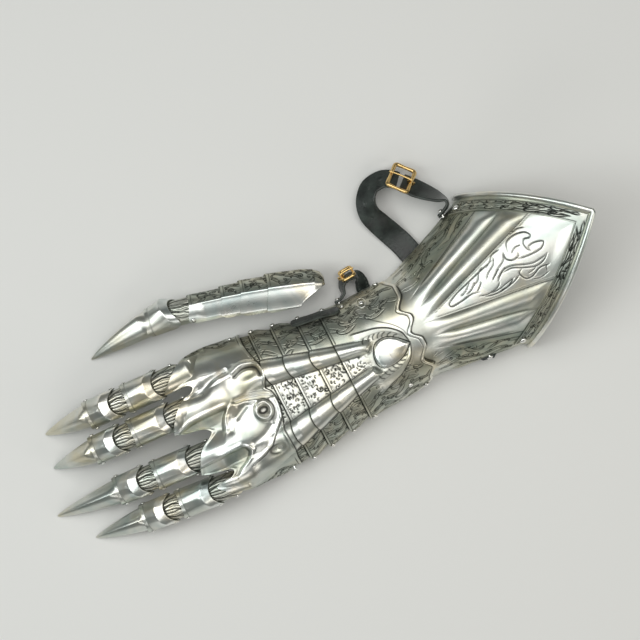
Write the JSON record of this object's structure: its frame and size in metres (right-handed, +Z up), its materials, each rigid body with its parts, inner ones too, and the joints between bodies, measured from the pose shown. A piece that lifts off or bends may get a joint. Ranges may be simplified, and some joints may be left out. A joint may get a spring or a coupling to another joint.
{
  "type": "steel plate gauntlet",
  "caption": "Left-hand articulated plate gauntlet with a flared pointed cuff, sliding lames, a knuckle plate, jointed clawed fingers and thumb, and buckled leather straps.",
  "frame": {"origin": "centre of the footprint on the surface the gauntlet lies on", "axes": "+Z up out of the back of the hand, +Y towards the fingertips, +X towards the thumb"},
  "size_m": [0.182, 0.4812, 0.0958],
  "materials": {
    "steel": "polished steel with engraved scrolls",
    "bright_steel": "mirror polished steel",
    "leather": "black waxed leather",
    "brass": "worn brass"
  },
  "bodies": {
    "cuff": {"cuff_plate": "steel", "cuff_border_band": "bright_steel", "cuff_rivets": "bright_steel", "cuff_strap_short": "leather", "cuff_strap_long": "leather", "cuff_buckle_frame": "brass"},
    "cuff_prong": {"cuff_buckle_prong": "brass"},
    "wrist": {"wrist_plate": "steel", "wrist_boss": "bright_steel", "wrist_rivets": "bright_steel", "wrist_strap": "leather", "wrist_buckle_frame": "brass", "thumb_leather": "leather"},
    "wrist_prong": {"wrist_buckle_prong": "brass"},
    "lame_1": {"metacarpal_lame_1": "steel", "lame_1_rivets": "bright_steel"},
    "lame_2": {"metacarpal_lame_2": "steel", "lame_2_rivets": "bright_steel"},
    "lame_3": {"metacarpal_lame_3": "steel", "lame_3_rivets": "bright_steel"},
    "lame_4": {"metacarpal_lame_4": "steel"},
    "knuckles": {"knuckle_plate": "bright_steel", "knuckle_rivets": "bright_steel", "finger_hinge_brackets": "steel"},
    "index_fan": {"index_knuckle_lame": "steel"},
    "index_proximal": {"index_proximal_plate": "bright_steel", "index_proximal_rivets": "bright_steel"},
    "index_fan_2": {"index_middle_lame": "steel"},
    "index_middle": {"index_middle_plate": "bright_steel", "index_middle_rivets": "bright_steel"},
    "index_claw": {"index_claw": "bright_steel"},
    "middle_fan": {"middle_knuckle_lame": "steel"},
    "middle_proximal": {"middle_proximal_plate": "bright_steel", "middle_proximal_rivets": "bright_steel"},
    "middle_fan_2": {"middle_middle_lame": "steel"},
    "middle_middle": {"middle_middle_plate": "bright_steel", "middle_middle_rivets": "bright_steel"},
    "middle_claw": {"middle_claw": "bright_steel"},
    "ring_fan": {"ring_knuckle_lame": "steel"},
    "ring_proximal": {"ring_proximal_plate": "bright_steel", "ring_proximal_rivets": "bright_steel"},
    "ring_fan_2": {"ring_middle_lame": "steel"},
    "ring_middle": {"ring_middle_plate": "bright_steel", "ring_middle_rivets": "bright_steel"},
    "ring_claw": {"ring_claw": "bright_steel"},
    "little_fan": {"little_knuckle_lame": "steel"},
    "little_proximal": {"little_proximal_plate": "bright_steel", "little_proximal_rivets": "bright_steel"},
    "little_fan_2": {"little_middle_lame": "steel"},
    "little_middle": {"little_middle_plate": "bright_steel", "little_middle_rivets": "bright_steel"},
    "little_claw": {"little_claw": "bright_steel"},
    "thumb_base": {"thumb_base_plate": "bright_steel"},
    "thumb_scale_1": {"thumb_lame_1": "steel"},
    "thumb_scale_2": {"thumb_lame_2": "steel"},
    "thumb_middle": {"thumb_middle_plate": "bright_steel", "thumb_rivets": "bright_steel"},
    "thumb_fan": {"thumb_fan_lame": "steel"},
    "thumb_tip": {"thumb_tip_plate": "bright_steel"},
    "thumb_claw": {"thumb_claw": "bright_steel"}
  },
  "joints": [
    {"name": "wrist_bend", "type": "hinge", "parent": "cuff", "child": "wrist", "pos_m": [-0.03304, -0.0666, 0.02], "axis": [-1, 0, 0], "range_deg": [-3, 20]},
    {"name": "hand_bend", "type": "hinge", "parent": "wrist", "child": "lame_1", "pos_m": [-0.03304, -0.0196, 0.017], "axis": [-1, 0, 0], "range_deg": [0, 5]},
    {"name": "lame_2_slide", "type": "hinge", "parent": "lame_1", "child": "lame_2", "pos_m": [-0.03304, 0.0004, 0.017], "axis": [-1, 0, 0], "range_deg": [0, 5]},
    {"name": "lame_3_slide", "type": "hinge", "parent": "lame_2", "child": "lame_3", "pos_m": [-0.03304, 0.0204, 0.017], "axis": [-1, 0, 0], "range_deg": [0, 5]},
    {"name": "lame_4_slide", "type": "hinge", "parent": "lame_3", "child": "lame_4", "pos_m": [-0.03304, 0.0379, 0.017], "axis": [-1, 0, 0], "range_deg": [0, 5]},
    {"name": "knuckles_slide", "type": "hinge", "parent": "lame_4", "child": "knuckles", "pos_m": [-0.03304, 0.0554, 0.017], "axis": [-1, 0, 0], "range_deg": [0, 5]},
    {"name": "index_knuckle", "type": "hinge", "parent": "knuckles", "child": "index_fan", "pos_m": [0.01796, 0.1064, 0.0375], "axis": [-0.9986, 0.0523, 0], "range_deg": [0, 35]},
    {"name": "index_knuckle_plate", "type": "hinge", "parent": "index_fan", "child": "index_proximal", "pos_m": [0.01874, 0.12136, 0.03671], "axis": [-0.9986, 0.0523, 0], "range_deg": [0, 35]},
    {"name": "index_mid_joint", "type": "hinge", "parent": "index_proximal", "child": "index_fan_2", "pos_m": [0.02004, 0.14614, 0.03367], "axis": [-0.9986, 0.0523, 0], "range_deg": [0, 38]},
    {"name": "index_mid_plate", "type": "hinge", "parent": "index_fan_2", "child": "index_middle", "pos_m": [0.02061, 0.15692, 0.03157], "axis": [-0.9986, 0.0523, 0], "range_deg": [0, 38]},
    {"name": "index_tip_joint", "type": "hinge", "parent": "index_middle", "child": "index_claw", "pos_m": [0.02174, 0.17852, 0.02537], "axis": [-0.9986, 0.0523, 0], "range_deg": [0, 35]},
    {"name": "middle_knuckle", "type": "hinge", "parent": "knuckles", "child": "middle_fan", "pos_m": [-0.00904, 0.1084, 0.0382], "axis": [-0.9986, 0.0523, 0], "range_deg": [0, 35]},
    {"name": "middle_knuckle_plate", "type": "hinge", "parent": "middle_fan", "child": "middle_proximal", "pos_m": [-0.0082, 0.12437, 0.03764], "axis": [-0.9986, 0.0523, 0], "range_deg": [0, 35]},
    {"name": "middle_mid_joint", "type": "hinge", "parent": "middle_proximal", "child": "middle_fan_2", "pos_m": [-0.00664, 0.15421, 0.03503], "axis": [-0.9986, 0.0523, 0], "range_deg": [0, 38]},
    {"name": "middle_mid_plate", "type": "hinge", "parent": "middle_fan_2", "child": "middle_middle", "pos_m": [-0.00602, 0.16605, 0.03315], "axis": [-0.9986, 0.0523, 0], "range_deg": [0, 38]},
    {"name": "middle_tip_joint", "type": "hinge", "parent": "middle_middle", "child": "middle_claw", "pos_m": [-0.00493, 0.18679, 0.02758], "axis": [-0.9986, 0.0523, 0], "range_deg": [0, 35]},
    {"name": "ring_knuckle", "type": "hinge", "parent": "knuckles", "child": "ring_fan", "pos_m": [-0.04724, 0.1084, 0.0335], "axis": [-0.9976, 0.0698, 0], "range_deg": [0, 35]},
    {"name": "ring_knuckle_plate", "type": "hinge", "parent": "ring_fan", "child": "ring_proximal", "pos_m": [-0.04613, 0.12432, 0.03238], "axis": [-0.9976, 0.0698, 0], "range_deg": [0, 35]},
    {"name": "ring_mid_joint", "type": "hinge", "parent": "ring_proximal", "child": "ring_fan_2", "pos_m": [-0.04412, 0.15297, 0.02835], "axis": [-0.9976, 0.0698, 0], "range_deg": [0, 38]},
    {"name": "ring_mid_plate", "type": "hinge", "parent": "ring_fan_2", "child": "ring_middle", "pos_m": [-0.04331, 0.16468, 0.02585], "axis": [-0.9976, 0.0698, 0], "range_deg": [0, 38]},
    {"name": "ring_tip_joint", "type": "hinge", "parent": "ring_middle", "child": "ring_claw", "pos_m": [-0.0419, 0.18482, 0.02006], "axis": [-0.9976, 0.0698, 0], "range_deg": [0, 35]},
    {"name": "little_knuckle", "type": "hinge", "parent": "knuckles", "child": "little_fan", "pos_m": [-0.07704, 0.1044, 0.0282], "axis": [-0.9962, 0.0872, 0], "range_deg": [0, 35]},
    {"name": "little_knuckle_plate", "type": "hinge", "parent": "little_fan", "child": "little_proximal", "pos_m": [-0.07574, 0.11931, 0.02715], "axis": [-0.9962, 0.0872, 0], "range_deg": [0, 35]},
    {"name": "little_mid_joint", "type": "hinge", "parent": "little_proximal", "child": "little_fan_2", "pos_m": [-0.07341, 0.14587, 0.02293], "axis": [-0.9962, 0.0872, 0], "range_deg": [0, 38]},
    {"name": "little_mid_plate", "type": "hinge", "parent": "little_fan_2", "child": "little_middle", "pos_m": [-0.07248, 0.15655, 0.02046], "axis": [-0.9962, 0.0872, 0], "range_deg": [0, 38]},
    {"name": "little_tip_joint", "type": "hinge", "parent": "little_middle", "child": "little_claw", "pos_m": [-0.07076, 0.17618, 0.01481], "axis": [-0.9962, 0.0872, 0], "range_deg": [0, 35]},
    {"name": "thumb_swing", "type": "hinge", "parent": "wrist", "child": "thumb_base", "pos_m": [0.01696, -0.0076, 0.033], "axis": [0.2588, 0.9659, 0], "range_deg": [-12, 2]},
    {"name": "thumb_root_bend", "type": "hinge", "parent": "thumb_base", "child": "thumb_scale_1", "pos_m": [0.04129, 0.01158, 0.02212], "axis": [-0.6437, 0.1867, 0.7421], "range_deg": [0, 5]},
    {"name": "thumb_scale_2_bend", "type": "hinge", "parent": "thumb_scale_1", "child": "thumb_scale_2", "pos_m": [0.04779, 0.03154, 0.02273], "axis": [-0.6437, 0.1867, 0.7421], "range_deg": [0, 5]},
    {"name": "thumb_middle_bend", "type": "hinge", "parent": "thumb_scale_2", "child": "thumb_middle", "pos_m": [0.05205, 0.04592, 0.02281], "axis": [-0.6437, 0.1867, 0.7421], "range_deg": [0, 5]},
    {"name": "thumb_fan_bend", "type": "hinge", "parent": "thumb_middle", "child": "thumb_fan", "pos_m": [0.0588, 0.07103, 0.02235], "axis": [-0.6437, 0.1867, 0.7421], "range_deg": [0, 5]},
    {"name": "thumb_tip_bend", "type": "hinge", "parent": "thumb_fan", "child": "thumb_tip", "pos_m": [0.06162, 0.0842, 0.02148], "axis": [-0.6437, 0.1867, 0.7421], "range_deg": [0, 5]},
    {"name": "thumb_claw_bend", "type": "hinge", "parent": "thumb_tip", "child": "thumb_claw", "pos_m": [0.06436, 0.10483, 0.01867], "axis": [-0.6437, 0.1867, 0.7421], "range_deg": [0, 8]},
    {"name": "cuff_prong_lift", "type": "hinge", "parent": "cuff", "child": "cuff_prong", "pos_m": [0.07025, -0.12822, 0.01682], "axis": [0.4777, -0.5693, -0.6691], "range_deg": [0, 70]},
    {"name": "wrist_prong_lift", "type": "hinge", "parent": "wrist", "child": "wrist_prong", "pos_m": [0.02882, -0.04541, 0.01235], "axis": [-0.4683, -0.0327, 0.8829], "range_deg": [0, 70]}
  ],
  "couplings": [
    {"joint": "lame_2_slide", "follows": "hand_bend", "ratio": 1},
    {"joint": "lame_3_slide", "follows": "hand_bend", "ratio": 1},
    {"joint": "lame_4_slide", "follows": "hand_bend", "ratio": 1},
    {"joint": "knuckles_slide", "follows": "hand_bend", "ratio": 1},
    {"joint": "index_knuckle_plate", "follows": "index_knuckle", "ratio": 1},
    {"joint": "index_mid_plate", "follows": "index_mid_joint", "ratio": 1},
    {"joint": "middle_knuckle_plate", "follows": "middle_knuckle", "ratio": 1},
    {"joint": "middle_mid_plate", "follows": "middle_mid_joint", "ratio": 1},
    {"joint": "ring_knuckle_plate", "follows": "ring_knuckle", "ratio": 1},
    {"joint": "ring_mid_plate", "follows": "ring_mid_joint", "ratio": 1},
    {"joint": "little_knuckle_plate", "follows": "little_knuckle", "ratio": 1},
    {"joint": "little_mid_plate", "follows": "little_mid_joint", "ratio": 1},
    {"joint": "thumb_scale_2_bend", "follows": "thumb_root_bend", "ratio": 1},
    {"joint": "thumb_middle_bend", "follows": "thumb_root_bend", "ratio": 1},
    {"joint": "thumb_tip_bend", "follows": "thumb_fan_bend", "ratio": 1}
  ]
}
